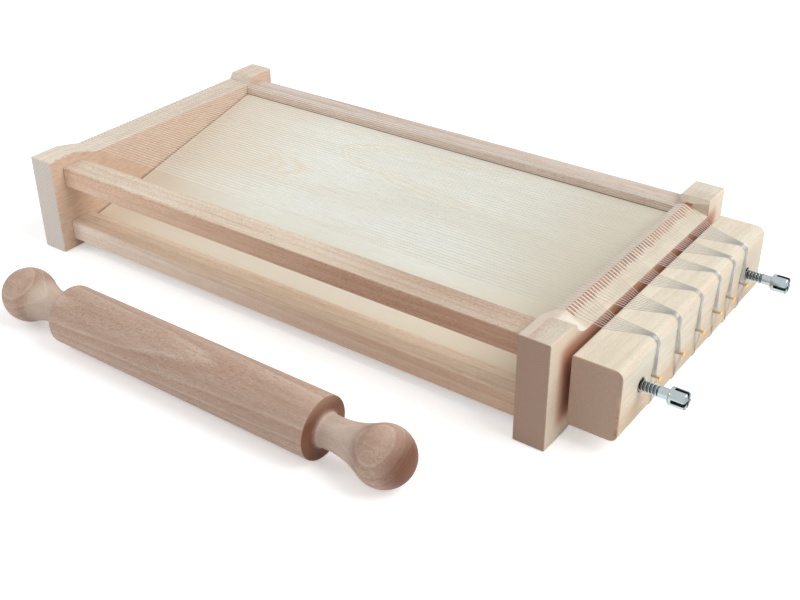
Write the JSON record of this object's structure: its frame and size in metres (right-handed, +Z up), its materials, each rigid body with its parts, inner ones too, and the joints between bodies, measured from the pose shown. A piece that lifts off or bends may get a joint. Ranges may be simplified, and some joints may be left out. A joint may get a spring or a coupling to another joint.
{
  "type": "wire pasta cutter set",
  "caption": "Beech frame strung on both faces with steel wires over a sloping board, with a screw-tensioned wire bar and a separate turned rolling pin.",
  "frame": {"origin": "middle of the set's footprint, on the table", "axes": "+X along the strings towards the tension bar, +Y away from the rolling pin, +Z up"},
  "size_m": [0.4836, 0.321, 0.07],
  "materials": {
    "pink_beech": "sanded",
    "pale_beech": "sanded",
    "rail_beech": "sanded",
    "birch_board": "sanded",
    "string_steel": "drawn",
    "zinc_steel": "bright zinc",
    "brass": "polished"
  },
  "bodies": {
    "frame": {"left_bridge": "pink_beech", "right_bridge": "pink_beech", "upper_front_rail": "rail_beech", "upper_back_rail": "rail_beech", "lower_front_rail": "pale_beech", "lower_back_rail": "pale_beech", "board": "birch_board", "bridge_nail_1": "brass", "bridge_nail_2": "brass", "bridge_nail_3": "brass", "bridge_nail_4": "brass", "bridge_nail_5": "brass", "bridge_nail_6": "brass", "upper_strings_1": "string_steel", "upper_strings_2": "string_steel", "upper_strings_3": "string_steel", "upper_strings_4": "string_steel", "upper_strings_5": "string_steel", "upper_strings_6": "string_steel", "lower_strings_1": "string_steel", "lower_strings_2": "string_steel", "lower_strings_3": "string_steel", "lower_strings_4": "string_steel", "lower_strings_5": "string_steel", "lower_strings_6": "string_steel"},
    "tension_bar_body": {"tension_bar": "pale_beech", "bar_nail_1": "brass", "bar_nail_2": "brass", "bar_nail_3": "brass", "bar_nail_4": "brass", "bar_nail_5": "brass", "bar_nail_6": "brass"},
    "near_screw": {"near_tension_screw": "zinc_steel"},
    "far_screw": {"far_tension_screw": "zinc_steel"},
    "rolling_pin_body": {"rolling_pin": "pink_beech"}
  },
  "joints": [
    {"name": "bar_slide", "type": "slide", "parent": "frame", "child": "tension_bar_body", "axis": [1, 0, 0], "range_m": [-0.003, 0.001], "deforming": ["upper_strings_1", "upper_strings_2", "upper_strings_3", "upper_strings_4", "upper_strings_5", "upper_strings_6", "lower_strings_1", "lower_strings_2", "lower_strings_3", "lower_strings_4", "lower_strings_5", "lower_strings_6"]},
    {"name": "near_screw_turn", "type": "hinge", "parent": "frame", "child": "near_screw", "pos_m": [0.1793, -0.02965, 0.037], "axis": [1, 0, 0], "range_deg": [-181, 541]},
    {"name": "far_screw_turn", "type": "hinge", "parent": "frame", "child": "far_screw", "pos_m": [0.1793, 0.12065, 0.0355], "axis": [1, 0, 0], "range_deg": [-181, 541]},
    {"name": "pin_lift", "type": "slide", "parent": "frame", "child": "rolling_pin_body", "axis": [0, 0, 1], "range_m": [0, 0.15]}
  ],
  "couplings": [
    {"joint": "near_screw_turn", "follows": "bar_slide", "rad_per_m": -3141.6},
    {"joint": "far_screw_turn", "follows": "bar_slide", "rad_per_m": -3141.6}
  ]
}
